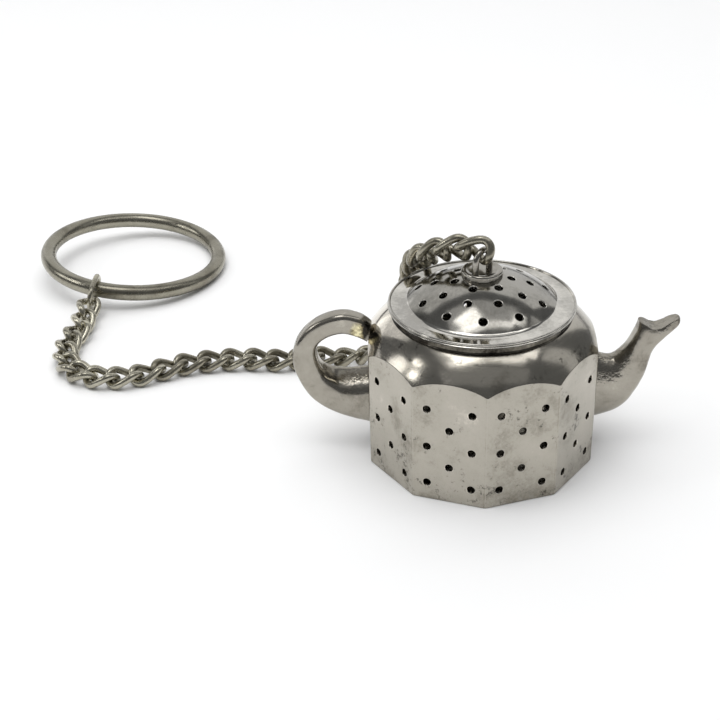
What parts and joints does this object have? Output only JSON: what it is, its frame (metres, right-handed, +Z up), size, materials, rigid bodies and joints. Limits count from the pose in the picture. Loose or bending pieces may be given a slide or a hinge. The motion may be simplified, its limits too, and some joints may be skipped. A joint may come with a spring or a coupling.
{
  "type": "tea infuser",
  "caption": "Perforated tea infuser in the shape of a small faceted teapot, with a lift-off domed lid, a twisted-link chain hooked to the lid and a finger ring.",
  "frame": {"origin": "middle of the pot's underside, on the surface that it stands on", "axes": "+Z up along the pot's axis, +X to the spout, handle towards -X"},
  "size_m": [0.1292, 0.113, 0.0398],
  "materials": {
    "pot_metal": "polished plate with fine scratches, smudges and light tarnish low on the walls",
    "lid_metal": "polished plate, mirror bright on the dome",
    "inner_metal": "satin sheet metal",
    "eye_metal": "polished wire and turned button",
    "cast_metal": "plated casting, slightly uneven",
    "chain_metal": "plated wire, slightly yellowed",
    "ring_metal": "plated round bar, slightly dull"
  },
  "bodies": {
    "pot": {"body_shell": "pot_metal", "base_plate": "pot_metal", "neck_collar": "inner_metal", "handle": "cast_metal", "spout": "cast_metal"},
    "lid": {"lid_cap": "lid_metal", "lid_skirt": "inner_metal", "lid_knob": "eye_metal", "lid_eye": "eye_metal"},
    "link_01": {"chain_link_01": "chain_metal"},
    "link_02": {"chain_link_02": "chain_metal"},
    "link_03": {"chain_link_03": "chain_metal"},
    "link_04": {"chain_link_04": "chain_metal"},
    "link_05": {"chain_link_05": "chain_metal"},
    "link_06": {"chain_link_06": "chain_metal"},
    "link_07": {"chain_link_07": "chain_metal"},
    "link_08": {"chain_link_08": "chain_metal"},
    "link_09": {"chain_link_09": "chain_metal"},
    "link_10": {"chain_link_10": "chain_metal"},
    "link_11": {"chain_link_11": "chain_metal"},
    "link_12": {"chain_link_12": "chain_metal"},
    "link_13": {"chain_link_13": "chain_metal"},
    "link_14": {"chain_link_14": "chain_metal"},
    "link_15": {"chain_link_15": "chain_metal"},
    "link_16": {"chain_link_16": "chain_metal"},
    "link_17": {"chain_link_17": "chain_metal"},
    "link_18": {"chain_link_18": "chain_metal"},
    "link_19": {"chain_link_19": "chain_metal"},
    "link_20": {"chain_link_20": "chain_metal"},
    "link_21": {"chain_link_21": "chain_metal"},
    "link_22": {"chain_link_22": "chain_metal"},
    "link_23": {"chain_link_23": "chain_metal"},
    "link_24": {"chain_link_24": "chain_metal"},
    "link_25": {"chain_link_25": "chain_metal"},
    "link_26": {"chain_link_26": "chain_metal"},
    "link_27": {"chain_link_27": "chain_metal"},
    "link_28": {"chain_link_28": "chain_metal"},
    "link_29": {"chain_link_29": "chain_metal"},
    "link_30": {"chain_link_30": "chain_metal"},
    "link_31": {"chain_link_31": "chain_metal"},
    "end_link": {"end_link": "chain_metal"},
    "ring": {"finger_ring": "ring_metal"}
  },
  "joints": [
    {"name": "lid_lift", "type": "slide", "parent": "pot", "child": "lid", "axis": [0, 0, 1], "range_m": [0, 0.012]},
    {"name": "link_01_swing", "type": "hinge", "parent": "lid", "child": "link_01", "pos_m": [0.00054, -0.00044, 0.0374], "axis": [0.6293, 0.7771, 0], "range_deg": [0, 8]},
    {"name": "link_02_swing", "type": "hinge", "parent": "link_01", "child": "link_02", "pos_m": [-0.00296, 0.00239, 0.03677], "axis": [-0.5962, -0.8028, 0], "range_deg": [-8, 0]},
    {"name": "link_03_swing", "type": "hinge", "parent": "link_02", "child": "link_03", "pos_m": [-0.0064, 0.00495, 0.03528], "axis": [0.7548, 0.656, 0], "range_deg": [0, 8]},
    {"name": "link_04_swing", "type": "hinge", "parent": "link_03", "child": "link_04", "pos_m": [-0.009, 0.00795, 0.03308], "axis": [-0.9307, -0.3658, 0], "range_deg": [-8, 0]},
    {"name": "link_05_swing", "type": "hinge", "parent": "link_04", "child": "link_05", "pos_m": [-0.0104, 0.01151, 0.03063], "axis": [0.982, 0.1891, 0], "range_deg": [0, 8]},
    {"name": "link_06_swing", "type": "hinge", "parent": "link_05", "child": "link_06", "pos_m": [-0.01104, 0.01481, 0.02759], "axis": [-0.991, -0.1339, 0], "range_deg": [-8, 0]},
    {"name": "link_07_swing", "type": "hinge", "parent": "link_06", "child": "link_07", "pos_m": [-0.0114, 0.01751, 0.02396], "axis": [0.9971, 0.0761, 0], "range_deg": [0, 8]},
    {"name": "link_08_swing", "type": "hinge", "parent": "link_07", "child": "link_08", "pos_m": [-0.01155, 0.01947, 0.01986], "axis": [-0.9591, 0.283, 0], "range_deg": [-8, 0]},
    {"name": "link_09_swing", "type": "hinge", "parent": "link_08", "child": "link_09", "pos_m": [-0.01136, 0.02011, 0.01537], "axis": [0.6909, 0.723, 0], "range_deg": [0, 7]},
    {"name": "link_10_swing", "type": "hinge", "parent": "link_09", "child": "link_10", "pos_m": [-0.01242, 0.02112, 0.01107], "axis": [-0.6082, -0.7938, 0], "range_deg": [-6, 0]},
    {"name": "link_11_swing", "type": "hinge", "parent": "link_10", "child": "link_11", "pos_m": [-0.01457, 0.02277, 0.00743], "axis": [0.5152, 0.8571, 0], "range_deg": [0, 6]},
    {"name": "link_12_swing", "type": "hinge", "parent": "link_11", "child": "link_12", "pos_m": [-0.01765, 0.02462, 0.00466], "axis": [-0.3703, -0.9289, 0], "range_deg": [-6, 0]},
    {"name": "link_13_swing", "type": "hinge", "parent": "link_12", "child": "link_13", "pos_m": [-0.0215, 0.02616, 0.00279], "axis": [0.1835, 0.983, 0], "range_deg": [0, 7]},
    {"name": "link_14_swing", "type": "hinge", "parent": "link_13", "child": "link_14", "pos_m": [-0.02585, 0.02697, 0.00177], "axis": [0, 0, -1], "range_deg": [-10, 15]},
    {"name": "link_15_swing", "type": "hinge", "parent": "link_14", "child": "link_15", "pos_m": [-0.03036, 0.02743, 0.00177], "axis": [0, 0, 1], "range_deg": [-15, 11]},
    {"name": "link_16_swing", "type": "hinge", "parent": "link_15", "child": "link_16", "pos_m": [-0.03481, 0.0265, 0.00177], "axis": [0, 0, -1], "range_deg": [-15, 15]},
    {"name": "link_17_swing", "type": "hinge", "parent": "link_16", "child": "link_17", "pos_m": [-0.03935, 0.02645, 0.00177], "axis": [0, 0, 1], "range_deg": [-15, 15]},
    {"name": "link_18_swing", "type": "hinge", "parent": "link_17", "child": "link_18", "pos_m": [-0.04385, 0.02701, 0.00177], "axis": [0, 0, -1], "range_deg": [-15, 15]},
    {"name": "link_19_swing", "type": "hinge", "parent": "link_18", "child": "link_19", "pos_m": [-0.04839, 0.02692, 0.00177], "axis": [0, 0, 1], "range_deg": [-15, 15]},
    {"name": "link_20_swing", "type": "hinge", "parent": "link_19", "child": "link_20", "pos_m": [-0.05287, 0.02618, 0.00177], "axis": [0, 0, -1], "range_deg": [-15, 15]},
    {"name": "link_21_swing", "type": "hinge", "parent": "link_20", "child": "link_21", "pos_m": [-0.05725, 0.02499, 0.00177], "axis": [0, 0, 1], "range_deg": [-15, 15]},
    {"name": "link_22_swing", "type": "hinge", "parent": "link_21", "child": "link_22", "pos_m": [-0.0613, 0.02293, 0.00177], "axis": [0, 0, -1], "range_deg": [-15, 15]},
    {"name": "link_23_swing", "type": "hinge", "parent": "link_22", "child": "link_23", "pos_m": [-0.06532, 0.02083, 0.00177], "axis": [0, 0, 1], "range_deg": [-10, 15]},
    {"name": "link_24_swing", "type": "hinge", "parent": "link_23", "child": "link_24", "pos_m": [-0.06981, 0.02014, 0.00177], "axis": [0, 0, -1], "range_deg": [-15, 12]},
    {"name": "link_25_swing", "type": "hinge", "parent": "link_24", "child": "link_25", "pos_m": [-0.07431, 0.02077, 0.00177], "axis": [0, 0, 1], "range_deg": [-5, 15]},
    {"name": "link_26_swing", "type": "hinge", "parent": "link_25", "child": "link_26", "pos_m": [-0.07816, 0.02318, 0.00177], "axis": [0, 0, -1], "range_deg": [-15, 6]},
    {"name": "link_27_swing", "type": "hinge", "parent": "link_26", "child": "link_27", "pos_m": [-0.08076, 0.0269, 0.00178], "axis": [0, 0, 1], "range_deg": [-4, 15]},
    {"name": "link_28_swing", "type": "hinge", "parent": "link_27", "child": "link_28", "pos_m": [-0.08174, 0.03133, 0.00199], "axis": [0, 0, -1], "range_deg": [-15, 13]},
    {"name": "link_29_swing", "type": "hinge", "parent": "link_28", "child": "link_29", "pos_m": [-0.08149, 0.03586, 0.00215], "axis": [0, 0, 1], "range_deg": [-15, 15]},
    {"name": "link_30_swing", "type": "hinge", "parent": "link_29", "child": "link_30", "pos_m": [-0.08061, 0.04031, 0.00231], "axis": [0, 0, -1], "range_deg": [-5, 15]},
    {"name": "link_31_swing", "type": "hinge", "parent": "link_30", "child": "link_31", "pos_m": [-0.08094, 0.04481, 0.0028], "axis": [0, 0, 1], "range_deg": [-11, 15]},
    {"name": "end_link_swing", "type": "hinge", "parent": "link_31", "child": "end_link", "pos_m": [-0.08061, 0.0493, 0.00339], "axis": [0, 0, 1], "range_deg": [-12, 12]},
    {"name": "ring_tip", "type": "hinge", "parent": "end_link", "child": "ring", "pos_m": [-0.08032, 0.05354, 0.00453], "axis": [0.9593, -0.2588, -0.1131], "range_deg": [0, 70]}
  ]
}
